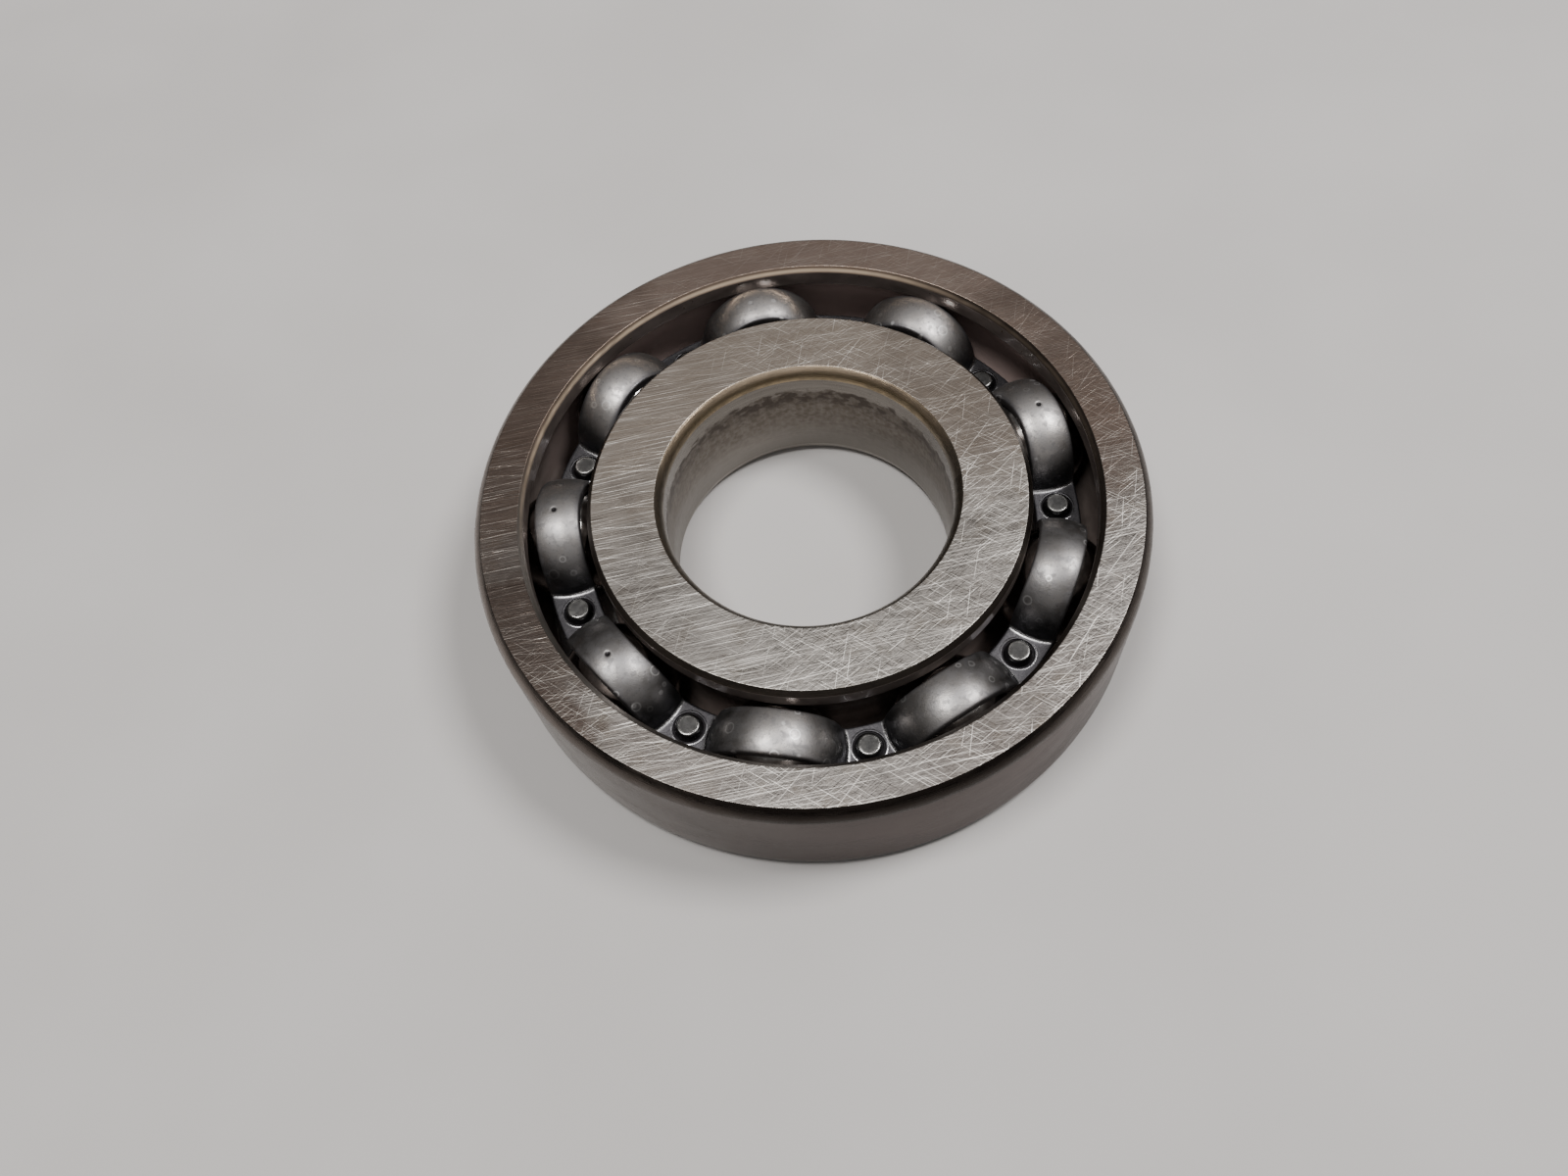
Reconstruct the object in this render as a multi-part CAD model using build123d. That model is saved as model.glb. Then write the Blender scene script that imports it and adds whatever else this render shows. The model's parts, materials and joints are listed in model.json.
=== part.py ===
from build123d import *
import os
from math import asin, cos, degrees, radians, sin, sqrt

# Deep groove ball bearing with a riveted pressed steel ribbon cage.
# Millimetres. The origin is the bearing's centre: on its axis, halfway across its width. The axis is +Z.

# Rings: each wall is the steel behind the deepest part of the ball groove
bore_diameter = 44.0
ring_width = 22.0
inner_ring_wall = 7.55
outer_ring_wall = 3.9475

# Ring corners: each is turned round, then cut back by the ground side face, which leaves a crisp edge
outside_corner_radius = 3.05
outside_corner_reach = 1.46
bore_corner_radius = 3.10
bore_corner_reach = 1.19

# Balls
ball_count = 9
ball_diameter = 17.4625
ball_play = 0.02
first_ball_angle = 17.7

# Raceways: grooves a little wider than the ball, between two shoulders on each ring
groove_conformity = 0.52
outer_groove_depth = 3.85
inner_groove_depth = 3.95
groove_edge_radius = 0.35
shoulder_chamfer_reach = 0.75
shoulder_chamfer_drop = 0.90

# Cage: two ribbons pressed from sheet, each with half-round pockets and flat lands between them
sheet_thickness = 1.30
ribbon_width = 6.90
pocket_clearance = 0.15
bend_radius = 0.70
pocket_mouth_radius = 1.00
ribbon_edge_radius = 0.30

# Rivets: one on each land. Each head has a steep side, from its foot in a shallow mark left by the riveting
# die up to a flat top, whose rim is rounded
rivet_shank_diameter = 2.50
rivet_hole_clearance = 0.03
rivet_head_diameter = 4.30
rivet_top_diameter = 3.45
rivet_head_height = 1.10
rivet_rim_radius = 0.18
die_mark_diameter = 4.80
die_mark_depth = 0.25

# Derived sizes, from the bore outward
half_width = ring_width / 2
bore_radius = bore_diameter / 2
ball_radius = ball_diameter / 2
inner_groove_bottom = bore_radius + inner_ring_wall
pitch_radius = inner_groove_bottom + ball_play + ball_radius
outer_groove_bottom = pitch_radius + ball_radius + ball_play
outside_radius = outer_groove_bottom + outer_ring_wall
groove_radius = groove_conformity * ball_diameter
inner_shoulder_radius = inner_groove_bottom + inner_groove_depth
outer_shoulder_radius = outer_groove_bottom - outer_groove_depth
pocket_radius = ball_radius + pocket_clearance
dome_radius = pocket_radius + sheet_thickness
dome_foot_radius = sqrt(dome_radius**2 - sheet_thickness**2)
pocket_pitch_angle = 360 / ball_count
ball_angles = [first_ball_angle + pocket_pitch_angle * i for i in range(ball_count)]
rivet_angles = [angle - pocket_pitch_angle / 2 for angle in ball_angles]


def at_angle(radius, angle, height=0):
    """Place at a radius and angle about the bearing's axis, turned to face outward."""
    return Rot(0, 0, angle) * Pos(radius, 0, height)


def section_point(radius, height):
    """Point of a turned section, on the half plane through the axis."""
    return Vector(radius, 0, height)


def section_line(start, end):
    return Line(section_point(*start), section_point(*end))


def section_arc(centre, radius, start_angle, end_angle):
    """Arc of a turned section, its angles measured at the arc's centre from the outward direction."""

    def on_arc(angle):
        return section_point(
            centre[0] + radius * cos(radians(angle)), centre[1] + radius * sin(radians(angle))
        )

    return ThreePointArc(on_arc(start_angle), on_arc((start_angle + end_angle) / 2), on_arc(end_angle))


def corner_drop(radius, reach):
    """How far down the wall a round reaches, when the side face cuts it after a given reach inward."""
    return sqrt(radius**2 - (radius - reach) ** 2)


def turned_ring(wall_radius, corner_radius, corner_reach, shoulder_radius, groove_bottom, outward):
    """Ring turned about the axis: a plain wall on one side, a ball groove between shoulders on the other.
    outward is 1 where the plain wall is outside, as on the outer ring, and -1 where it is the bore."""
    drop = corner_drop(corner_radius, corner_reach)
    wall_end = half_width - drop
    face_at_wall = wall_radius - outward * corner_reach
    face_at_shoulder = shoulder_radius + outward * shoulder_chamfer_reach
    shoulder_end = half_width - shoulder_chamfer_drop
    groove_centre = groove_bottom - outward * groove_radius
    half_groove = sqrt(groove_radius**2 - (shoulder_radius - groove_centre) ** 2)
    groove_angle = degrees(asin(half_groove / groove_radius))
    corner_angle = degrees(asin(drop / corner_radius))
    straight_out = 0 if outward > 0 else 180

    upper = [
        section_arc(
            (wall_radius - outward * corner_radius, wall_end),
            corner_radius,
            straight_out,
            straight_out + outward * corner_angle,
        ),
        section_line((face_at_wall, half_width), (face_at_shoulder, half_width)),
        section_line((face_at_shoulder, half_width), (shoulder_radius, shoulder_end)),
        section_line((shoulder_radius, shoulder_end), (shoulder_radius, half_groove)),
    ]
    wall = section_line((wall_radius, -wall_end), (wall_radius, wall_end))
    groove = section_arc(
        (groove_centre, 0), groove_radius, straight_out + groove_angle, straight_out - groove_angle
    )
    lower = [mirror(edge, about=Plane.XY) for edge in upper]
    ring = revolve(make_face([wall, groove] + upper + lower), Axis.Z)

    def on_groove_edge(edge):
        return (
            edge.geom_type == GeomType.CIRCLE
            and abs(edge.radius - shoulder_radius) < groove_edge_radius / 10
            and abs(edge.center().Z) < (half_groove + shoulder_end) / 2
        )

    return fillet(ring.edges().filter_by(on_groove_edge), groove_edge_radius)


def outer_ring():
    return turned_ring(
        outside_radius,
        outside_corner_radius,
        outside_corner_reach,
        outer_shoulder_radius,
        outer_groove_bottom,
        1,
    )


def inner_ring():
    return turned_ring(
        bore_radius, bore_corner_radius, bore_corner_reach, inner_shoulder_radius, inner_groove_bottom, -1
    )


def ball(angle):
    return at_angle(pitch_radius, angle) * Sphere(ball_radius)


def cage_half():
    """Upper ribbon: a flat sheet is domed over every ball, and then trimmed to a narrow band."""
    blank_reach = dome_radius + bend_radius + sheet_thickness
    blank = Pos(0, 0, sheet_thickness / 2) * (
        Cylinder(pitch_radius + blank_reach, sheet_thickness)
        - Cylinder(pitch_radius - blank_reach, sheet_thickness)
    )
    pockets = [at_angle(pitch_radius, angle) for angle in ball_angles]
    under = Pos(0, 0, -dome_radius) * Cylinder(pitch_radius + 2 * blank_reach, 2 * dome_radius)
    sheet = blank + [place * Sphere(dome_radius) for place in pockets]

    sheet = fillet(circles(sheet, dome_foot_radius, sheet_thickness), bend_radius)
    sheet -= [place * Sphere(pocket_radius) for place in pockets]
    sheet -= under
    sheet = fillet(circles(sheet, pocket_radius, 0), pocket_mouth_radius)

    band = Pos(0, 0, dome_radius / 2) * (
        Cylinder(pitch_radius + ribbon_width / 2, dome_radius * 2)
        - Cylinder(pitch_radius - ribbon_width / 2, dome_radius * 2)
    )
    half = sheet & band
    half = fillet(half.edges().filter_by(on_ribbon_edge), ribbon_edge_radius)
    hole = Cylinder(rivet_shank_diameter / 2 + rivet_hole_clearance, 4 * sheet_thickness)
    mark = Pos(0, 0, sheet_thickness) * Cylinder(die_mark_diameter / 2, 2 * die_mark_depth)
    half -= [at_angle(pitch_radius, angle) * (hole + mark) for angle in rivet_angles]
    return half


def on_ribbon_edge(edge):
    """Whether an edge runs along the inner or the outer cut wall of the ribbon."""
    tolerance = 0.01
    reaches = [Vector(point.X, point.Y).length - pitch_radius for point in edge.positions([0, 0.4, 1])]
    return all(abs(abs(reach) - ribbon_width / 2) < tolerance for reach in reaches) and (
        reaches[0] * reaches[-1] > 0
    )


def circles(shape, radius, height):
    """Round edges of one radius that lie at one height."""
    tolerance = 0.01
    return (
        shape.edges()
        .filter_by(GeomType.CIRCLE)
        .filter_by(lambda edge: abs(edge.radius - radius) < tolerance)
        .filter_by(lambda edge: abs(edge.center().Z - height) < tolerance)
    )


def rivet():
    """Shank with a steep-sided, flat-topped head at each end, on the Z axis."""
    seat = sheet_thickness - die_mark_depth
    top = sheet_thickness + rivet_head_height
    shank_radius = rivet_shank_diameter / 2
    foot_radius = rivet_head_diameter / 2
    top_radius = rivet_top_diameter / 2
    upper = [
        section_line((0, top), (top_radius, top)),
        section_line((top_radius, top), (foot_radius, seat)),
        section_line((foot_radius, seat), (shank_radius, seat)),
    ]
    lower = [mirror(edge, about=Plane.XY) for edge in upper]
    shank = section_line((shank_radius, -seat), (shank_radius, seat))
    axis_line = section_line((0, -top), (0, top))
    sharp = revolve(make_face([shank, axis_line] + upper + lower), Axis.Z)
    rims = circles(sharp, top_radius, top) + circles(sharp, top_radius, -top)
    return fillet(rims, rivet_rim_radius)


def write(shape, name):
    shape.label = name
    export_step(shape, f"parts/{name}.step")


os.makedirs("parts", exist_ok=True)
write(outer_ring(), "outer_ring")
write(inner_ring(), "inner_ring")
upper_half = cage_half()
write(upper_half, "cage_upper")
write(mirror(upper_half, about=Plane.XY), "cage_lower")
one_rivet = rivet()
for number, angle in enumerate(ball_angles, start=1):
    write(ball(angle), f"ball_{number}")
for number, angle in enumerate(rivet_angles, start=1):
    write(at_angle(pitch_radius, angle) * one_rivet, f"rivet_{number}")
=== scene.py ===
import json
import random
from math import acos, asin, atan2, cos, hypot, pi, radians, sin, sqrt

import bmesh
import bpy
import numpy as np
from mathutils import Matrix, Vector


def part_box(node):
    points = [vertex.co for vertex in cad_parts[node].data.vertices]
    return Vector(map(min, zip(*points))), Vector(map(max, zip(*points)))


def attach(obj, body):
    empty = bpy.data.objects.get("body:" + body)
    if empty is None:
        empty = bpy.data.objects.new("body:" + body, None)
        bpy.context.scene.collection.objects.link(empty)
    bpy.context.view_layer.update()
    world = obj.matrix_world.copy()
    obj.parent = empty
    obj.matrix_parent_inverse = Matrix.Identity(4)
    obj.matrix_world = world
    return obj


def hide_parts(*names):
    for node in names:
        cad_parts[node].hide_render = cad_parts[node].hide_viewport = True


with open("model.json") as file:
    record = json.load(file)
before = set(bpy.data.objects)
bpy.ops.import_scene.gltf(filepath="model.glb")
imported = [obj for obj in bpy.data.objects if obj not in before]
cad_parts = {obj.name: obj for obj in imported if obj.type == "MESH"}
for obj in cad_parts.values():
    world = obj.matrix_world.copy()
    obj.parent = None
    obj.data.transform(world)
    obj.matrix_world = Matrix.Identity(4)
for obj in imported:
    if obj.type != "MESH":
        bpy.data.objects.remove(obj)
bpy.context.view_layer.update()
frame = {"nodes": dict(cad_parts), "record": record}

# Used open ball bearing lying flat: scratched ground rings, oily interior, dark pressed ribbon cage.
# Blender works in metres. The sizes below are in millimetres and go through MM.
MM = 0.001

# Sizes read from the frame
RING_LOW, RING_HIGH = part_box("outer_ring")
OUTER_R = RING_HIGH.x / MM
HALF_WIDTH = RING_HIGH.z / MM
BORE_R = next(m for m in frame["record"]["mounts"] if m["name"] == "bore")["dims"]["r_mm"]
BALLS = sorted(name for name in frame["nodes"] if name.startswith("ball_"))
RIVETS = sorted(name for name in frame["nodes"] if name.startswith("rivet_"))


def node_centre(name):
    low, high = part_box(name)
    return (low + high) / 2 / MM


BALL_LOW, BALL_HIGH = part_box(BALLS[0])
BALL_R = (BALL_HIGH.z - BALL_LOW.z) / 2 / MM
PITCH_R = sum(hypot(*node_centre(name).xy) for name in BALLS) / len(BALLS)
RIVET_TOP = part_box(RIVETS[0])[1].z / MM

# Ring sections
OUTSIDE_CORNER_R, OUTSIDE_CORNER_REACH = 3.05, 1.46
BORE_CORNER_R, BORE_CORNER_REACH = 3.10, 1.19
GROOVE_R = 0.52 * 2 * BALL_R
BALL_PLAY = 0.02
OUTER_GROOVE_DEPTH, INNER_GROOVE_DEPTH = 3.85, 3.95
OUTER_GROOVE_BOTTOM = PITCH_R + BALL_R + BALL_PLAY
INNER_GROOVE_BOTTOM = PITCH_R - BALL_R - BALL_PLAY
OUTER_SHOULDER_R = OUTER_GROOVE_BOTTOM - OUTER_GROOVE_DEPTH
INNER_SHOULDER_R = INNER_GROOVE_BOTTOM + INNER_GROOVE_DEPTH
CHAMFER_REACH, CHAMFER_DROP = 0.75, 0.90
EDGE_ROUND = 0.10
GROOVE_EDGE_ROUND = 0.35
GROOVE_EDGE_ANGLE = 5
RING_STEPS, CORNER_STEPS, GROOVE_STEPS = 400, 12, 40

# Cage and rivets
SHEET = 1.30
RIBBON_WIDTH = 6.90
POCKET_CLEARANCE = 0.15
BEND_R = 0.70
MOUTH_R = 1.00
RIBBON_EDGE_R = 0.30
RIBBON_STATIONS, RIBBON_TOP_ROWS, RIBBON_UNDER_ROWS, RIBBON_EDGE_STEPS = 76, 34, 10, 5
SURFACE_SAMPLES = 3000
RIVET_HEAD_R, RIVET_TOP_R, RIVET_RIM_R = 2.15, 1.725, 0.45
RIVET_STEPS, RIVET_RIM_STEPS, RIVET_SUPPORT = 48, 5, 0.05
SHANK_R = 1.25
DIE_MARK_R, DIE_MARK_DEPTH, DIE_MARK_ROUND = 2.38, 0.25, 0.10
DIE_MARK_STEPS, CUTTER_ABOVE_SHEET, SHARP_ANGLE = 64, 0.4, 40
PITTED = ("ball_1", "ball_5", "ball_6")
PIT_FLOOR_R, PIT_R, PIT_LIP_R, PIT_DEPTH, PIT_OUTWARD = 0.20, 0.45, 0.55, 0.12, 0.30

# Oil beads on the shoulders: how small and how much larger, their length up the wall, height and sinking
BEAD_SIZE, BEAD_SPREAD = 0.06, 0.12
BEAD_LENGTH, BEAD_HEIGHT, BEAD_SUNK = 1.4, 0.55, 0.05
BEAD_RINGS, BEAD_SIDES = 4, 10
BEADS_FROM, BEADS_TO = 0.70 * HALF_WIDTH, 0.90 * HALF_WIDTH
OUTER_BEADS, OUTER_BEAD_SEED = 34, 5
INNER_BEADS, INNER_BEAD_SEED = 14, 8

# Camera, in metres and degrees: its place, turn and lens fitted to the ring circles of the photograph
CAMERA_PLACE = (0, -0.10171, 0.16910)
CAMERA_YAW, CAMERA_PITCH, CAMERA_ROLL = 3.16262, -61.59763, -8.49490
CAMERA_SENSOR, CAMERA_LENS = 36, 28.73
CAMERA_NEAR, CAMERA_FAR = 0.01, 10

# Lamps and floor, in metres. Each lamp has a direction, width, power and colour
LAMP_DISTANCE = 1.2
LAMPS = {
    "lamp_left": ((-0.21, -0.05, 0.97), 0.40, 10, (1.0, 0.98, 0.95)),
    "lamp_right": ((0.48, 0.10, 0.87), 0.38, 11.5, (1.0, 0.98, 0.96)),
}
FLOOR_REACH = 1.2
CEILING_COLOUR = (0.95, 0.92, 0.90, 1)


def scene_object(name, data):
    obj = bpy.data.objects.new(name, data)
    bpy.context.scene.collection.objects.link(obj)
    return obj


def shade_smooth(mesh):
    mesh.polygons.foreach_set("use_smooth", [True] * len(mesh.polygons))


def mesh_object(name, points, faces, smooth=True):
    """Mesh object from points in millimetres."""
    mesh = bpy.data.meshes.new(name)
    mesh.from_pydata([tuple(p) for p in np.asarray(points, float) * MM], [], faces)
    mesh.validate()
    if smooth:
        shade_smooth(mesh)
    return scene_object(name, mesh)


def quads_between(rows, columns, start=0, closed=True):
    """Faces from each row of points to the next, and from the last row to the first. In a closed grid the
    last column joins the first as well."""
    faces = []
    for i in range(rows):
        a, b = start + i * columns, start + (i + 1) % rows * columns
        for j in range(columns if closed else columns - 1):
            k = (j + 1) % columns
            faces.append((a + j, b + j, b + k, a + k))
    return faces


def paint(obj, name, values):
    """Stores a number for each of an object's points, for its material to read."""
    layer = obj.data.attributes.new(name, "FLOAT", "POINT")
    layer.data.foreach_set("value", np.asarray(values, np.float32))


def arc_points(centre, radius, start, end, steps):
    """Points of an arc in a section, end points included, angles in degrees from the outward direction."""
    return [
        (centre[0] + radius * cos(radians(a)), centre[1] + radius * sin(radians(a)))
        for a in np.linspace(start, end, steps)
    ]


def rounded(outline, steps=4, support=0.12):
    """Outline whose corners (r, z, round) become small arcs, with a support point beside each arc so that
    the flats next to it stay flat when shaded smooth. A corner with no round stays one point."""
    made = []
    count = len(outline)
    for i, (r, z, size) in enumerate(outline):
        here = np.array([r, z])
        if size <= 0:
            made.append(tuple(here))
            continue
        before = np.array(outline[i - 1][:2]) - here
        after = np.array(outline[(i + 1) % count][:2]) - here
        before_length, after_length = np.linalg.norm(before), np.linalg.norm(after)
        before, after = before / before_length, after / after_length
        half = acos(max(-1, min(1, float(before @ after)))) / 2
        reach = size / np.tan(half)
        middle = (before + after) / np.linalg.norm(before + after)
        centre = here + middle * size / sin(half)
        start, end = here + before * reach, here + after * reach
        if before_length > 2 * (reach + support):
            made.append(tuple(start + before * support))
        a0 = np.arctan2(*(start - centre)[::-1])
        a1 = np.arctan2(*(end - centre)[::-1])
        turn = (a1 - a0 + pi) % (2 * pi) - pi
        for k in range(steps + 1):
            a = a0 + turn * k / steps
            made.append((centre[0] + size * cos(a), centre[1] + size * sin(a)))
        if after_length > 2 * (reach + support):
            made.append(tuple(end + after * support))
    return made


def revolved(name, outline, steps):
    """Closed ring from an outline of (r, z) points, turned about the bearing's axis."""
    outline = np.array(outline)
    turn = np.linspace(0, 2 * pi, steps, endpoint=False)
    points = np.stack(
        [
            np.outer(np.cos(turn), outline[:, 0]),
            np.outer(np.sin(turn), outline[:, 0]),
            np.tile(outline[:, 1], (steps, 1)),
        ],
        axis=2,
    ).reshape(-1, 3)
    return outward_normals(mesh_object(name, points, quads_between(steps, len(outline))))


def outward_normals(obj):
    """The object, with every face turned to look outward."""
    work = bmesh.new()
    work.from_mesh(obj.data)
    bmesh.ops.recalc_face_normals(work, faces=work.faces)
    work.to_mesh(obj.data)
    work.free()
    return obj


def ring_outline(wall_r, corner_r, corner_reach, shoulder_r, groove_bottom, outward):
    """Section of a ring. outward is 1 for the outer ring, -1 for the inner ring."""
    drop = sqrt(corner_r**2 - (corner_r - corner_reach) ** 2)
    face_wall = wall_r - outward * corner_reach
    face_shoulder = shoulder_r + outward * CHAMFER_REACH
    groove_centre = groove_bottom - outward * GROOVE_R
    half_groove = sqrt(GROOVE_R**2 - (shoulder_r - groove_centre) ** 2)
    corner_angle = np.degrees(asin(drop / corner_r))
    groove_angle = np.degrees(asin(half_groove / GROOVE_R))
    straight = 0 if outward > 0 else 180
    corner = arc_points(
        (wall_r - outward * corner_r, HALF_WIDTH - drop),
        corner_r, straight, straight + outward * corner_angle, CORNER_STEPS,
    )
    upper = [(r, z, 0) for r, z in corner[:-1]]
    upper.append((face_wall, HALF_WIDTH, EDGE_ROUND))
    upper.append((face_shoulder, HALF_WIDTH, EDGE_ROUND))
    upper.append((shoulder_r, HALF_WIDTH - CHAMFER_DROP, EDGE_ROUND))
    upper.append((shoulder_r, half_groove, GROOVE_EDGE_ROUND))
    groove_turn = outward * (groove_angle - GROOVE_EDGE_ANGLE)
    groove = arc_points(
        (groove_centre, 0), GROOVE_R, straight + groove_turn, straight - groove_turn, GROOVE_STEPS
    )
    lower = [(r, -z, size) for r, z, size in reversed(upper)]
    return rounded(upper + [(r, z, 0) for r, z in groove] + lower)


def make_outer_ring():
    outline = ring_outline(
        OUTER_R, OUTSIDE_CORNER_R, OUTSIDE_CORNER_REACH, OUTER_SHOULDER_R, OUTER_GROOVE_BOTTOM, 1
    )
    return revolved("outer_ring_steel", outline, RING_STEPS)


def make_inner_ring():
    outline = ring_outline(
        BORE_R, BORE_CORNER_R, BORE_CORNER_REACH, INNER_SHOULDER_R, INNER_GROOVE_BOTTOM, -1
    )
    return revolved("inner_ring_steel", outline, RING_STEPS)


def smooth_step(x, low, high):
    t = np.clip((x - low) / (high - low), 0, 1)
    return t * t * (3 - 2 * t)


def sheet_top(d):
    """Height of the ribbon's outer surface at a distance from a ball's upright axis."""
    dome = BALL_R + POCKET_CLEARANCE + SHEET
    centre_d = sqrt((dome + BEND_R) ** 2 - (SHEET + BEND_R) ** 2)
    contact_d = centre_d * dome / (dome + BEND_R)
    fillet = SHEET + BEND_R - np.sqrt(np.clip(BEND_R**2 - (centre_d - d) ** 2, 0, None))
    ball = np.sqrt(np.clip(dome**2 - d**2, 0, None))
    return np.where(d >= centre_d, SHEET, np.where(d > contact_d, fillet, ball))


def sheet_under(d):
    """Height of the ribbon's ball side at a distance from a ball's upright axis."""
    pocket = BALL_R + POCKET_CLEARANCE
    centre_d = sqrt((pocket + MOUTH_R) ** 2 - MOUTH_R**2)
    contact_d = centre_d * pocket / (pocket + MOUTH_R)
    mouth = MOUTH_R - np.sqrt(np.clip(MOUTH_R**2 - (centre_d - d) ** 2, 0, None))
    ball = np.sqrt(np.clip(pocket**2 - d**2, 0, None))
    return np.where(d >= centre_d, 0.0, np.where(d > contact_d, mouth, ball))


def spread_along(radius, surface, half_angle, count):
    """Angles from a ball's centre line to the middle of the land, evenly spaced along the surface."""
    angle = np.linspace(0, half_angle, SURFACE_SAMPLES)
    d = np.sqrt(radius**2 + PITCH_R**2 - 2 * radius * PITCH_R * np.cos(angle))
    step = np.hypot(radius * np.diff(angle), np.diff(surface(d)))
    along = np.concatenate([[0], np.cumsum(step)])
    return np.interp(np.linspace(0, along[-1], count), along, angle)


def make_ribbon(name, side):
    """Pressed ribbon half: its outer and ball-side surfaces on rows of constant radius, joined round the
    rolled edges. side is 1 for the upper half and -1 for the lower."""
    half_angle = pi / len(BALLS)
    inner = PITCH_R - RIBBON_WIDTH / 2
    edge = RIBBON_EDGE_R
    quarter = [edge * (1 - cos(a)) for a in np.linspace(0, pi / 2, RIBBON_EDGE_STEPS)][:-1]
    pit_at = [np.array(node_centre(n).xy) * (1 + PIT_OUTWARD / PITCH_R) for n in PITTED]
    ball_at = sorted(np.arctan2(node_centre(n).y, node_centre(n).x) % (2 * pi) for n in BALLS)

    def surface_rows(surface, inward, row_count, dented):
        flats = list(np.linspace(edge, RIBBON_WIDTH - edge, row_count))
        grid = []
        for across in quarter + flats + [RIBBON_WIDTH - q for q in quarter[::-1]]:
            radius = inner + across
            one_side = spread_along(radius, surface, half_angle, RIBBON_STATIONS)
            pocket = np.concatenate([-one_side[::-1], one_side[1:-1]])
            angle = np.concatenate([a + pocket for a in ball_at])
            offset = np.tile(pocket, len(ball_at))
            d = np.sqrt(radius**2 + PITCH_R**2 - 2 * radius * PITCH_R * np.cos(offset))
            height = surface(d)
            gap = min(across, RIBBON_WIDTH - across)
            if gap < edge:
                height = height + inward * (edge - sqrt(edge**2 - (edge - gap) ** 2))
            x, y = radius * np.cos(angle), radius * np.sin(angle)
            if dented:
                near = np.min([np.hypot(x - cx, y - cy) for cx, cy in pit_at], axis=0)
                height = height - PIT_DEPTH * (1 - smooth_step(near, PIT_FLOOR_R, PIT_LIP_R))
            grid.append(np.stack([x, y, side * height], axis=1))
        return grid

    top = surface_rows(sheet_top, -1, RIBBON_TOP_ROWS, side > 0)
    under = surface_rows(sheet_under, 1, RIBBON_UNDER_ROWS, False)
    loop = top + under[::-1]
    faces = [(a, d, c, b) for a, b, c, d in quads_between(len(loop), len(loop[0]))]
    ribbon = outward_normals(mesh_object(name, np.concatenate(loop), faces))
    cut_die_marks(ribbon, side)
    return ribbon


def cut_die_marks(ribbon, side):
    """Sinks a shallow round mark with a rounded lip into the ribbon under every rivet head. The lip's arc ends
    just short of level, so that the cutter crosses the sheet's top at an angle."""
    floor = SHEET - DIE_MARK_DEPTH
    lip = arc_points((DIE_MARK_R + DIE_MARK_ROUND, SHEET - DIE_MARK_ROUND), DIE_MARK_ROUND, 180, 94, 5)
    profile = [(DIE_MARK_R, floor)] + lip + [(lip[-1][0], SHEET + CUTTER_ABOVE_SHEET)]
    steps, count = DIE_MARK_STEPS, len(profile)
    points, faces = [], []
    for name in RIVETS:
        centre, start = node_centre(name), len(points)
        for turn in np.linspace(0, 2 * pi, steps, endpoint=False):
            for r, z in profile:
                points.append((centre.x + r * cos(turn), centre.y + r * sin(turn), side * z))
        faces += quads_between(steps, count, start, closed=False)
        for row in (0, count - 1):
            faces.append(tuple(start + i * count + row for i in range(steps)))
    cutter = outward_normals(mesh_object("die_marks", points, faces, smooth=False))
    step = ribbon.modifiers.new("die_marks", "BOOLEAN")
    step.object, step.operation, step.solver = cutter, "DIFFERENCE", "EXACT"
    cut_mesh = bpy.data.meshes.new_from_object(ribbon.evaluated_get(bpy.context.evaluated_depsgraph_get()))
    ribbon.modifiers.clear()
    ribbon.data = cut_mesh
    bpy.data.objects.remove(cutter)
    shade_smooth(cut_mesh)
    cut_mesh.set_sharp_from_angle(angle=radians(SHARP_ANGLE))


def make_rivet(node):
    """Shank with a steep-sided, flat-topped formed head at each end."""
    seat = SHEET - DIE_MARK_DEPTH
    upper = [
        (0, RIVET_TOP, 0), (RIVET_TOP_R, RIVET_TOP, RIVET_RIM_R), (RIVET_HEAD_R, seat, 0), (SHANK_R, seat, 0)
    ]
    lower = [(r, -z, size) for r, z, size in upper[::-1]]
    outline = rounded(upper + lower, steps=RIVET_RIM_STEPS, support=RIVET_SUPPORT)[1:-1]
    centre, count = node_centre(node), len(outline)
    points = []
    for turn in np.linspace(0, 2 * pi, RIVET_STEPS, endpoint=False):
        points += [(centre.x + r * cos(turn), centre.y + r * sin(turn), z) for r, z in outline]
    faces = quads_between(RIVET_STEPS, count, closed=False)
    for row, height in ((0, RIVET_TOP), (count - 1, -RIVET_TOP)):
        hub = len(points)
        points.append((centre.x, centre.y, height))
        for i in range(RIVET_STEPS):
            faces.append((i * count + row, ((i + 1) % RIVET_STEPS) * count + row, hub))
    rivet = outward_normals(mesh_object(node + "_formed", points, faces))
    paint(rivet, "reach", [hypot(x - centre.x, y - centre.y) for x, y, _ in points])
    return rivet


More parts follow.
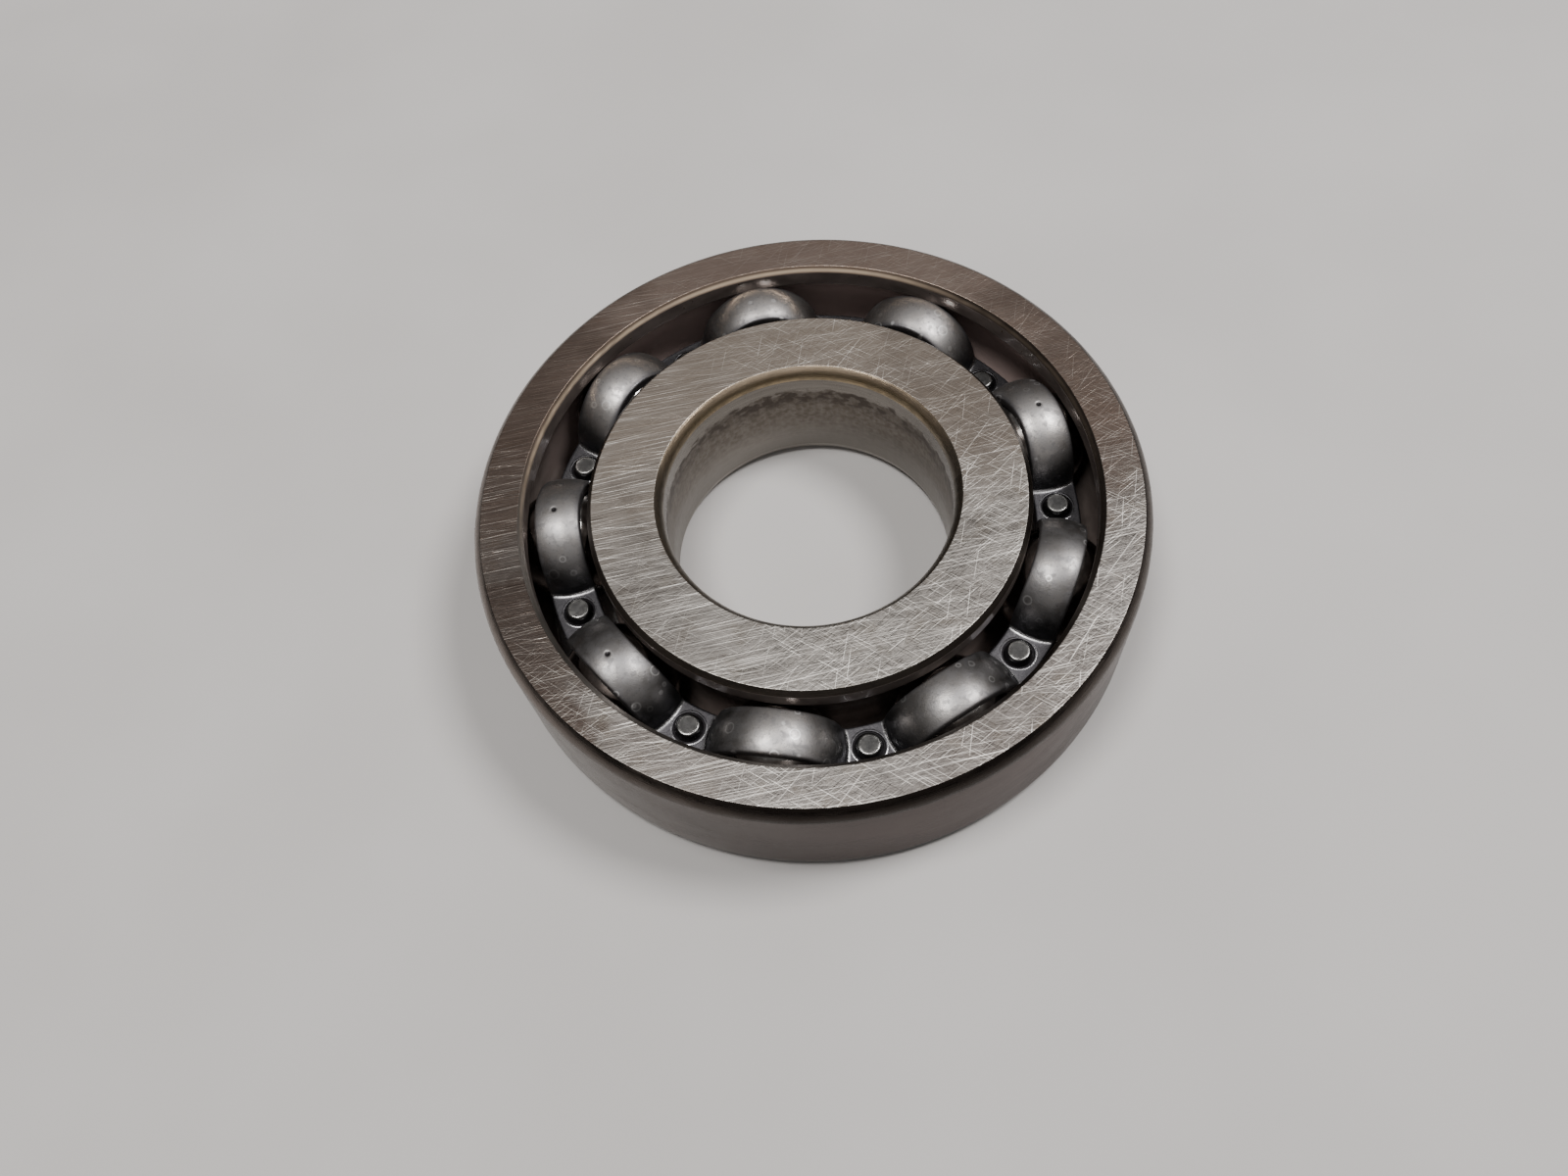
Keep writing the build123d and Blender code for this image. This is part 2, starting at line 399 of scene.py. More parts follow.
def make_beads(name, radius, outward, count, seed):
    """Small oil beads scattered over a shoulder land. outward is -1 where the land faces the axis."""
    chance = random.Random(seed)
    rings, sides = BEAD_RINGS, BEAD_SIDES
    points, faces = [], []
    for _ in range(count):
        angle, height = chance.uniform(0, 2 * pi), chance.uniform(BEADS_FROM, BEADS_TO)
        size = BEAD_SIZE + BEAD_SPREAD * chance.random() ** 2
        out = Vector((cos(angle), sin(angle), 0)) * outward
        along = Vector((-sin(angle), cos(angle), 0))
        centre = Vector((radius * cos(angle), radius * sin(angle), height))
        start = len(points)
        for i in range(rings + 1):
            lift, spread = sin(i / rings * pi / 2), cos(i / rings * pi / 2)
            for j in range(sides if i < rings else 1):
                turn = 2 * pi * j / sides
                flat = along * cos(turn) + Vector((0, 0, BEAD_LENGTH * sin(turn)))
                points.append(centre + (flat * spread + out * (lift * BEAD_HEIGHT - BEAD_SUNK)) * size)
        for i in range(rings):
            for j in range(sides):
                a, b = start + i * sides + j, start + i * sides + (j + 1) % sides
                if i < rings - 1:
                    faces.append((a, b, b + sides, a + sides))
                else:
                    faces.append((a, b, start + rings * sides))
        faces.append(tuple(start + j for j in reversed(range(sides))))
    return outward_normals(mesh_object(name, points, faces))


# Materials: colours in linear light, positions in millimetres
MIX_FACTOR, MIX_FIRST, MIX_SECOND, MIX_RESULT = 0, 6, 7, 2


class Nodes:
    """Adds shader nodes to a material or world. An input is a number, a colour or another node's output."""

    def __init__(self, owner):
        self.owner = owner
        owner.use_nodes = True
        self.tree = owner.node_tree
        self.tree.nodes.clear()

    def add(self, kind, inputs, output=0, **settings):
        node = self.tree.nodes.new("ShaderNode" + kind)
        for key, value in settings.items():
            setattr(node, key, value)
        for key, value in inputs.items():
            if isinstance(value, bpy.types.NodeSocket):
                self.tree.links.new(value, node.inputs[key])
            else:
                node.inputs[key].default_value = value
        return node.outputs[output]

    def math(self, operation, first, second=0.0):
        return self.add("Math", {0: first, 1: second}, operation=operation)

    def away(self, value, middle=None):
        """How far a value lies from a middle or, where none is given, from 0."""
        if middle is not None:
            value = self.math("SUBTRACT", value, middle)
        return self.math("ABSOLUTE", value)

    def reach(self, x, y):
        """Length of a vector in the plane of the bearing."""
        return self.math("SQRT", self.total(self.times(x, x), self.times(y, y)))

    def total(self, *values):
        result = values[0]
        for value in values[1:]:
            result = self.math("ADD", result, value)
        return result

    def times(self, *values):
        result = values[0]
        for value in values[1:]:
            result = self.math("MULTIPLY", result, value)
        return result

    def ramp(self, value, low, high, to_low=0.0, to_high=1.0):
        """Value carried smoothly from low..high to to_low..to_high, and held at both ends. low may be the
        higher, and the result then falls as the value rises."""
        inputs = {0: value, 1: low, 2: high, 3: to_low, 4: to_high}
        return self.add("MapRange", inputs, interpolation_type="SMOOTHSTEP")

    def blend(self, factor, first, second):
        """First colour, carried to the second by a factor of 0..1."""
        inputs = {MIX_FACTOR: factor, MIX_FIRST: first, MIX_SECOND: second}
        for key in (MIX_FIRST, MIX_SECOND):
            if isinstance(inputs[key], tuple):
                inputs[key] = (*inputs[key], 1)
        return self.add("Mix", inputs, output=MIX_RESULT, data_type="RGBA")

    def after(self, vector, value):
        """The vector unchanged, but worked out only after a value. Cycles runs out of room for its workings
        when a shader's many patterns all stand side by side, so they are put one after another."""
        inputs = {0: value, 1: (1e-9, 1e-9, 1e-9), 2: vector}
        return self.add("VectorMath", inputs, operation="MULTIPLY_ADD")

    def in_turn(self, pattern, position, settings):
        """Sum of a pattern over a list of its settings."""
        result = pattern(position, *settings[0])
        for setting in settings[1:]:
            result = self.total(result, pattern(self.after(position, result), *setting))
        return result

    def patches(self, x, y, steps):
        """The highest of several soft-edged patches, each a smooth step of x times one of y."""
        covered = 0.0
        for x_low, x_high, y_low, y_high, amount in steps:
            patch = self.times(self.ramp(x, x_low, x_high), self.ramp(y, y_low, y_high), amount)
            covered = self.math("MAXIMUM", patch, covered)
        return covered

    def position(self):
        """Place on the object in millimetres."""
        place = self.add("TexCoord", {}, output="Object")
        return self.add("VectorMath", {0: place, "Scale": 1 / MM}, operation="SCALE")

    def parts(self, vector):
        return tuple(self.add("SeparateXYZ", {0: vector}, output=i) for i in range(3))

    def join(self, x, y, z):
        return self.add("CombineXYZ", {0: x, 1: y, 2: z})

    def round_the_axis(self, position):
        """Arc length, height and radius as one vector, so that patterns run along a turned wall. The arc is
        measured both ways from +X, and so has no seam."""
        x, y, z = self.parts(position)
        radius = self.reach(x, y)
        angle = self.away(self.math("ARCTAN2", y, x))
        return self.join(self.times(angle, radius), z, radius)

    def noise(self, position, size, detail=3.0, seed=0.0, stretch=(1, 1, 1), contrast=(0.3, 0.7)):
        """Noise of 0..1 whose blotches are about size across, longer where stretch is above 1."""
        scale = tuple(1 / (size * s) for s in stretch)
        inputs = {"Vector": position, "Location": (seed, seed * 1.7, seed * 0.6), "Scale": scale}
        moved = self.add("Mapping", inputs)
        value = self.add("TexNoise", {"Vector": moved, "Scale": 1.0, "Detail": detail})
        return self.ramp(value, *contrast)

    def turned(self, position, angle):
        """Position as seen along a direction in the plane, given by its angle in degrees."""
        inputs = {"Vector": position, "Angle": radians(-angle)}
        return self.add("VectorRotate", inputs, rotation_type="Z_AXIS")

    def scratches(self, position, angle, spacing, length, width, share, seed):
        """Fine straight lines of 0..1 at an angle in degrees. The plane is cut into lanes, and each lane into
        lengths, of which a share holds one line with a place, slant and strength of its own."""
        along, across, _ = self.parts(self.turned(position, angle))
        across = self.math("DIVIDE", across, spacing)
        lane = self.math("FLOOR", across)
        lane_shift = self.add("TexWhiteNoise", {"W": self.total(lane, seed)}, noise_dimensions="1D")
        along = self.total(self.math("DIVIDE", along, length), self.times(lane_shift, 17.0))
        cell = self.math("FLOOR", along)
        chance = self.add(
            "TexWhiteNoise", {"Vector": self.join(lane, cell, seed)}, output=1, noise_dimensions="3D"
        )
        exists, place, strength = self.parts(chance)
        in_cell = self.math("SUBTRACT", self.math("SUBTRACT", along, cell), 0.5)
        slant = self.times(in_cell, self.math("SUBTRACT", strength, 0.5), 0.9)
        centre = self.total(self.ramp(place, 0, 1, 0.32, 0.68), slant)
        off = self.away(self.math("SUBTRACT", across, lane), centre)
        line = self.ramp(off, 0, width / spacing, 1, 0)
        ends = self.ramp(self.away(in_cell), 0.25, 0.5, 1, 0)
        there = self.math("LESS_THAN", exists, share)
        return self.times(line, ends, there, self.ramp(strength, 0, 1, 0.25, 1))

    def hairlines(self, position, angle, size, length, seed):
        """Dense grinding marks of 0..1: noise drawn out along an angle in degrees."""
        return self.noise(self.turned(position, angle), size, 2, seed, (length / size, 1, 1), (0.36, 0.64))

    def painted(self, name):
        """The number that paint stored under a name."""
        return self.add("Attribute", {}, output=2, attribute_name=name)

    def from_rivet(self, position):
        """Distance in the plane of the cage from the nearest rivet's axis."""
        x, y, _ = self.parts(position)
        radius = self.reach(x, y)
        first = node_centre(RIVETS[0])
        turn = self.math("SUBTRACT", self.math("ARCTAN2", y, x), atan2(first.y, first.x))
        spaces = self.times(turn, len(RIVETS) / (2 * pi))
        off = self.math("SUBTRACT", spaces, self.math("ROUND", spaces))
        between = self.times(self.math("COSINE", self.times(off, 2 * pi / len(RIVETS))), radius, 2 * PITCH_R)
        square = self.math("SUBTRACT", self.total(self.times(radius, radius), PITCH_R**2), between)
        return self.math("SQRT", square)

    def from_pit(self, position):
        """Distance in the plane of the cage from the nearest of the pits on the upper half."""
        x, y, z = self.parts(position)
        nearest = far_away = 99.0
        for name in PITTED:
            centre = node_centre(name) * (1 + PIT_OUTWARD / PITCH_R)
            dx, dy = self.math("SUBTRACT", x, centre.x), self.math("SUBTRACT", y, centre.y)
            nearest = self.math("MINIMUM", self.reach(dx, dy), nearest)
        return self.total(nearest, self.times(self.math("LESS_THAN", z, 0.0), far_away))

    def drying_rings(self, position, spacing, radius, share, seed):
        """Thin rings of 0..1 such as drying drops leave, one in a share of the cells."""
        moved = self.add("Mapping", {"Vector": position, "Location": (seed, seed, seed)})
        cell = {"Vector": moved, "Scale": 1 / spacing, "Randomness": 0.8}
        line_width = 0.16
        distance = self.add("TexVoronoi", cell)
        chance = self.parts(self.add("TexVoronoi", cell, output=1))[0]
        line = self.ramp(self.away(distance, radius / spacing), 0, line_width / spacing, 1, 0)
        return self.times(line, self.math("LESS_THAN", chance, share))

    def bump(self, height, depth):
        """Normal of a surface that rises by a depth in millimetres where height is 1."""
        return self.add("Bump", {"Height": height, "Distance": depth * MM, "Strength": 1.0})

    def finish(self, **inputs):
        """The finished material. It is a metal where metal isn't given."""
        names = {
            "colour": "Base Color", "metal": "Metallic", "rough": "Roughness", "normal": "Normal",
            "edge": "Specular Tint", "coat": "Coat Weight", "coat_rough": "Coat Roughness",
            "coat_normal": "Coat Normal",
        }
        settings = {names[key]: value for key, value in inputs.items()}
        settings.setdefault("Metallic", 1.0)
        return self.output("Material", self.add("BsdfPrincipled", settings))

    def output(self, kind, surface):
        out = self.tree.nodes.new("ShaderNodeOutput" + kind)
        self.tree.links.new(surface, out.inputs[0])
        return self.owner


def material_nodes(name):
    return Nodes(bpy.data.materials.new(name))


def shaded(share, colour):
    return tuple(share * c for c in colour)


# Lines on the side faces: angle, spacing, length, width, share, seed. The light scratches of handling come
# first, then the dark grooves of grinding
HANDLING_LINES = (
    (6, 0.40, 14, 0.085, 0.60, 1),
    (9, 0.55, 20, 0.09, 0.50, 2),
    (-5, 0.90, 11, 0.08, 0.35, 3),
    (8, 2.40, 30, 0.13, 0.50, 7),
)
CROSSING_LINES = (
    (33, 0.50, 4.5, 0.06, 0.50, 4),
    (-38, 0.52, 5, 0.06, 0.45, 5),
    (72, 1.30, 6, 0.07, 0.35, 6),
    (46, 3.20, 11, 0.10, 0.40, 8),
)
LEVEL_GROOVES = (
    (5, 0.32, 13, 0.09, 0.65, 31),
    (9, 0.41, 18, 0.10, 0.55, 32),
    (1, 0.37, 10, 0.09, 0.50, 33),
)
CROSSING_GROOVES = (
    (36, 0.34, 3.5, 0.11, 0.65, 34),
    (-36, 0.36, 3.5, 0.12, 0.65, 35),
)

# Grinding marks of the side faces: angle, size, length, seed
LEVEL_MARKS = ((7, 0.11, 14, 3), (2, 0.10, 10, 14), (11, 0.14, 16, 27))
CROSSING_MARKS = ((35, 0.10, 3, 9), (-37, 0.11, 3, 17), (64, 0.09, 1.5, 23))

# Stretches of the side faces: where x sets in and is full, where y sets in and is full, strength
OUTER_CROSSING = (
    (-34, -6, -90, -70, 0.7),
    (10, 30, -90, -70, 1.0),
    (-24, -34, -14, -26, 0.95),
)
# Stretches of painted shade on the outer face, where it catches little light
OUTER_PAINTED_SHADE = (
    (-18, -40, -42, -22, 0.68),
    (-28, -38, -8, -15, 0.92),
    (5, 18, -26, -36, 0.26),
    (-12, -20, -28, -36, 0.27),
    (22, 42, -14, 0, 0.60),
)
INNER_CROSSING = (
    (-22, 2, -90, -70, 1.0),
    (-10, -24, -4, -16, 0.6),
)
# Stretches of painted shade on the inner face, where it catches little light
INNER_PAINTED_SHADE = (
    (-6, -20, -90, -70, 0.10),
    (5, 18, -6, -16, 0.13),
    (8, 26, -8, 8, 0.45),
    (-14, -26, -8, -14, 0.36),
    (-14, -26, 8, -2, 0.20),
)
BACK_STARTS, BACK_ENDS = 0, 26
# Colours for the side faces: painted shade, a real stain, and the light scratches, partly a painted highlight
FACE_SHADE = (0.058, 0.041, 0.033)
STAIN = (0.13, 0.105, 0.075)
SCRATCH_GLINT = (0.88, 0.85, 0.80)


def face_material(name, tone, back_shade_colour, crossing, painted_shade, behind):
    """Ground side face. Level marks lie all over, and crossing ones in the stretches of crossing; painted
    shade darkens the stretches listed after those. The colour given for the back is painted shade there,
    darker and browner, and behind is how strong the marks are there, where 1 is as strong as in front. The
    light scratches are real, but their light colour is partly a painted highlight of the lamps they catch."""
    n = material_nodes(name)
    place = n.position()
    x, y, _ = n.parts(place)
    wander = n.ramp(n.noise(place, 9, 3, 21), 0, 1, -4, 4)
    x, y = n.total(x, wander), n.total(y, wander)
    # The crossing stretches, and the stretches of painted shade
    across, painted_shade = n.patches(x, y, crossing), n.patches(x, y, painted_shade)
    marked = n.ramp(y, BACK_STARTS, BACK_ENDS, 1, behind)
    # Strength of the painted highlight on the light scratches, weaker towards the back
    scratch_glint_fade = n.ramp(y, BACK_STARTS, BACK_ENDS, 1, min(behind, 0.75))

    # Light scratches: real marks, whose light colour further down is partly a painted highlight
    level = n.in_turn(n.scratches, place, HANDLING_LINES)
    crossed = n.in_turn(n.scratches, n.after(place, level), CROSSING_LINES)
    level = n.times(level, n.ramp(across, 0, 1, 1, 0.6))
    crossed = n.times(crossed, n.ramp(across, 0, 1, 0.2, 1))
    lines = n.total(level, crossed)

    # Grinding marks
    level = n.in_turn(n.hairlines, n.after(place, lines), LEVEL_MARKS)
    level = n.times(level, 1 / len(LEVEL_MARKS))
    crossed = n.in_turn(n.hairlines, n.after(place, level), CROSSING_MARKS)
    crossed = n.times(crossed, 1 / len(CROSSING_MARKS))
    place = n.after(place, crossed)
    grain = n.noise(place, 0.20, 4, 41, (2, 1, 1), (0.36, 0.64))
    crossed = n.total(n.times(crossed, 0.55), n.times(grain, 0.45))
    mixed = n.ramp(across, 0, 1, 0.1, 0.7)
    marks = n.total(n.times(level, n.math("SUBTRACT", 1.0, mixed)), n.times(crossed, mixed))

    # Dark grooves
    level = n.in_turn(n.scratches, n.after(place, marks), LEVEL_GROOVES)
    crossed = n.in_turn(n.scratches, n.after(place, level), CROSSING_GROOVES)
    grooves = n.total(n.times(level, n.ramp(across, 0, 1, 1, 0.25)), n.times(crossed, across))

    place = n.after(place, grooves)
    worn = n.noise(place, 5, 4, 5, contrast=(0.35, 0.65))
    stain = n.noise(n.after(place, worn), 3.2, 5, 12, contrast=(0.52, 0.72))
    dark = n.ramp(marks, 0.32, 0.66, n.times(marked, n.ramp(across, 0, 1, 0.55, 0.75)), 0.0)
    # Painted highlight on the light scratches, held back in the painted shade
    kept = n.math("MAXIMUM", n.ramp(painted_shade, 0, 1, 1.0, 0.10), n.times(across, 0.45))
    scratch_glint = n.times(lines, scratch_glint_fade, kept)
    colour = n.blend(worn, shaded(0.82, tone), tone)
    colour = n.blend(dark, colour, shaded(0.22, tone))
    colour = n.blend(n.times(grooves, marked, 0.85), colour, shaded(0.16, tone))
    colour = n.blend(n.times(stain, 0.3), colour, STAIN)
    # Painted shade: the back of the face darker and browner
    colour = n.blend(n.ramp(y, -15, 15, 0, 0.6), colour, back_shade_colour)
    # Painted shade in its stretches
    colour = n.blend(n.times(painted_shade, 0.92), colour, FACE_SHADE)
    # Light scratches lightened, partly as a painted highlight
    colour = n.blend(n.times(scratch_glint, 0.60), colour, SCRATCH_GLINT)
    rough = n.total(n.ramp(marks, 0, 1, 0.42, 0.28), n.times(scratch_glint, 0.12))
    height = n.total(n.times(marks, 0.8), n.times(lines, -0.8), n.times(grooves, -0.6))
    return n.finish(colour=colour, rough=rough, normal=n.bump(height, 0.008))


def corner_material(name, dark, light, blot, sheen, lit_back_colour=None, highlight_colour=None):
    """Turned round between face and wall: unground, and darkest close under the face. Painted shade darkens
    its front, and painted light lightens its sides and its far left, which reflect brighter surroundings. It
    may have a painted highlight on the upper side at the back, golden and brightest close under the face, and
    a light grey on the lower side as a painted reflection of the floor."""
    n = material_nodes(name)
    place = n.position()
    wall = n.round_the_axis(place)
    x, y, height = n.parts(place)
    depth = n.math("SUBTRACT", HALF_WIDTH, n.away(height))
    blotch = n.noise(wall, 1.1, 5, 4, (2.5, 1, 1))
    rings = n.noise(wall, 0.09, 2, 8, (60, 1, 1))
    # Painted light: the sides lighter
    sides = n.ramp(n.away(x), 12, 32)
    # Painted shade at the front
    painted_shade = n.times(n.ramp(x, -26, -6), n.ramp(x, 42, 20), n.math("LESS_THAN", y, 0.0), 0.75)
    # Painted light at the far left
    painted_light = n.times(n.ramp(x, -30, -44), 0.8)
    colour = n.blend(n.math("MAXIMUM", n.ramp(depth, 0.15, 0.6), sides), dark, light)
    colour = n.blend(n.times(blotch, 0.5), colour, blot)
    colour = n.blend(n.times(rings, 0.3), colour, shaded(1.5, light))
    colour = n.blend(painted_shade, colour, shaded(0.6, dark))
    colour = n.blend(painted_light, colour, shaded(2.4, light))
    if lit_back_colour:
        # Painted highlight on the upper side at the back, golden and brightest close under the face
        tan = n.times(n.ramp(y, 2, 17), n.ramp(height, 0, 1), n.ramp(blotch, 0, 1, 1, 0.6))
        colour = n.blend(tan, colour, lit_back_colour)
        colour = n.blend(n.times(tan, n.ramp(depth, 0.4, 1.2, 0.75, 0)), colour, highlight_colour)
        # Painted reflection of the floor: light grey on the lower side
        colour = n.blend(n.ramp(height, 0, -1, 0, 0.8), colour, (0.36, 0.335, 0.305))
    rough = n.ramp(blotch, 0, 1, sheen, sheen + 0.12)
    return n.finish(colour=colour, rough=rough, normal=n.bump(n.total(rings, blotch), 0.010))


def outside_material():
    """Ground outside wall: fine lines round it and faint upright fretting, in dark colours that paint the
    shade of the floor it reflects. Painted shade darkens its right further and dulls its glancing reflection."""
    n = material_nodes("ring_outside")
    place = n.position()
    wall = n.round_the_axis(place)
    lines = n.noise(wall, 0.10, 2, 2, (80, 1, 1))
    upright = n.noise(wall, 1.2, 3, 6, (1, 9, 1))
    cloud = n.noise(wall, 4, 4, 11, (2, 1, 1))
    # Dark colours: a painted shade of the shaded floor that the wall reflects
    colour = n.blend(lines, (0.125, 0.119, 0.119), (0.175, 0.168, 0.167))
    colour = n.blend(n.times(upright, 0.5), colour, (0.085, 0.080, 0.080))
    colour = n.blend(n.times(cloud, 0.3), colour, (0.12, 0.10, 0.085))
    # Painted shade: darker towards the right, with a duller glancing reflection
    painted_shade = n.ramp(n.parts(place)[0], -40, 6)
    colour = n.blend(painted_shade, colour, (0.080, 0.074, 0.072))
    rough = n.total(n.ramp(lines, 0, 1, 0.16, 0.24), n.times(cloud, 0.06))
    edge = n.blend(painted_shade, (1.0, 0.98, 0.96), (0.675, 0.64, 0.63))
    return n.finish(colour=colour, rough=rough, edge=edge, normal=n.bump(lines, 0.003))


def bore_material():
    """Bore wall: a clean band under the upper corner, a ragged dark stain, and brown fretting below it that
    fades towards the other side. Near the lower side it is lighter, a painted reflection of the floor."""
    n = material_nodes("ring_bore")
    place = n.position()
    wall = n.round_the_axis(place)
    depth = n.math("SUBTRACT", HALF_WIDTH, n.parts(place)[2])
    ragged = n.noise(wall, 0.9, 4, 3, (2, 1, 1))
    edge = n.total(depth, n.ramp(ragged, 0, 1, -0.5, 0.5))
    seated = n.times(n.ramp(edge, 4.6, 5.4), n.ramp(edge, 9, 17, 1, 0.35))
    line = n.times(n.ramp(edge, 4.6, 5.6), n.ramp(edge, 6.5, 9.5, 1, 0))
    mottle = n.noise(wall, 0.8, 6, 7)
    streak = n.noise(wall, 0.5, 3, 13, (1, 12, 1))
    turned = n.noise(wall, 0.12, 2, 17, (60, 1, 1))
    clean = n.blend(turned, (0.150, 0.136, 0.120), (0.205, 0.189, 0.170))
    fretted = n.blend(mottle, (0.11, 0.094, 0.078), (0.21, 0.19, 0.168))
    fretted = n.blend(n.times(streak, 0.4), fretted, (0.12, 0.10, 0.08))
    colour = n.blend(seated, clean, fretted)
    blot = n.noise(wall, 1.3, 5, 23, (1.4, 1, 1), (0.42, 0.58))
    colour = n.blend(n.times(line, n.ramp(blot, 0, 1, 0.25, 0.85)), colour, (0.055, 0.043, 0.036))
    # Painted reflection of the floor: lighter near the lower side
    low = n.ramp(edge, 12, 19)
    colour = n.blend(n.times(low, 0.6), colour, (0.26, 0.245, 0.225))
    rough = n.total(n.ramp(seated, 0, 1, 0.22, 0.42), n.times(mottle, 0.06))
    return n.finish(colour=colour, rough=rough, normal=n.bump(n.total(mottle, streak), 0.008))


def chamfer_material(name, painted_light, dirt_and_shade, sheen, worn=False):
    """Small turned chamfer with dirt in places, its tone given lighter or darker as painted light for how it
    faces the lamps. A worn one has painted shade on its right, and at the back a painted highlight, browner
    above and golden along its middle."""
    n = material_nodes(name)
    place = n.position()
    wall = n.round_the_axis(place)
    turned = n.noise(wall, 0.10, 2, 5, (70, 1, 1))
    dirt = n.noise(wall, 1.0, 5, 8, (3, 1, 1))
    # Painted light: the given tone is light where the chamfer faces the lamps, dark where it faces away
    colour = n.blend(turned, shaded(0.7, painted_light), painted_light)
    colour = n.blend(n.times(dirt, 0.35), colour, dirt_and_shade)
    if worn:
        x, y, z = n.parts(place)
        depth = n.math("SUBTRACT", HALF_WIDTH, n.away(z))
        behind = n.times(n.ramp(y, -8, 20), n.ramp(x, 12, 34, 1, 0.15), 0.9)
        streak = n.times(n.ramp(depth, 0.22, 0.50), n.ramp(depth, 0.62, 0.86, 1, 0.1))
        # Painted shade on the right, then at the back a browner colour with a golden painted highlight along
        # the middle
        colour = n.blend(n.ramp(x, -10, 30), colour, dirt_and_shade)
        colour = n.blend(behind, colour, (0.28, 0.205, 0.155))
        colour = n.blend(n.times(behind, streak), colour, (1.0, 0.80, 0.60))
    rough = n.ramp(dirt, 0, 1, sheen, sheen + 0.10)
    return n.finish(colour=colour, rough=rough, normal=n.bump(n.total(turned, dirt), 0.003))


def groove_material():
    """Shoulder lands and ball groove: polished, under dark oil. In the hollow of the groove at the back the
    oil is browner and duller, and lighter too as painted light where little light reaches."""
    n = material_nodes("ring_groove")
    place = n.position()
    wall = n.round_the_axis(place)
    _, y, z = n.parts(place)
    # Browner oil in the hollow at the back, its colour also lightened as painted light for the light it lacks
    hollow = n.times(n.ramp(y, 14, 32), n.ramp(z, 6.8, 4.0))
    film = n.noise(wall, 1.6, 4, 2, (2, 1, 1))
    turned = n.noise(wall, 0.12, 2, 9, (60, 1, 1))
    colour = n.blend(film, (0.17, 0.135, 0.125), (0.22, 0.18, 0.165))
    colour = n.blend(n.times(turned, 0.3), colour, (0.19, 0.17, 0.15))
    colour = n.blend(hollow, colour, (0.44, 0.34, 0.32))
    return n.finish(
        colour=colour, metal=n.ramp(hollow, 0, 1, 0.6, 0.1), rough=n.ramp(film, 0, 1, 0.30, 0.42),
        coat=0.4, coat_rough=n.ramp(film, 0, 1, 0.03, 0.07), coat_normal=n.bump(film, 0.006),
    )


def ball_material():
    """Polished steel under a smeared film of oil."""
    n = material_nodes("ball_steel_oiled")
    place = n.position()
    film = n.noise(place, 1.8, 4, 5)
    smear = n.noise(place, 0.5, 4, 8, (4, 1, 1))
    colour = n.blend(film, (0.20, 0.19, 0.18), (0.34, 0.33, 0.32))
    rough = n.total(n.ramp(film, 0, 1, 0.07, 0.14), n.times(smear, 0.05))
    return n.finish(colour=colour, rough=rough, coat=0.5, coat_rough=0.04, coat_normal=n.bump(film, 0.02))


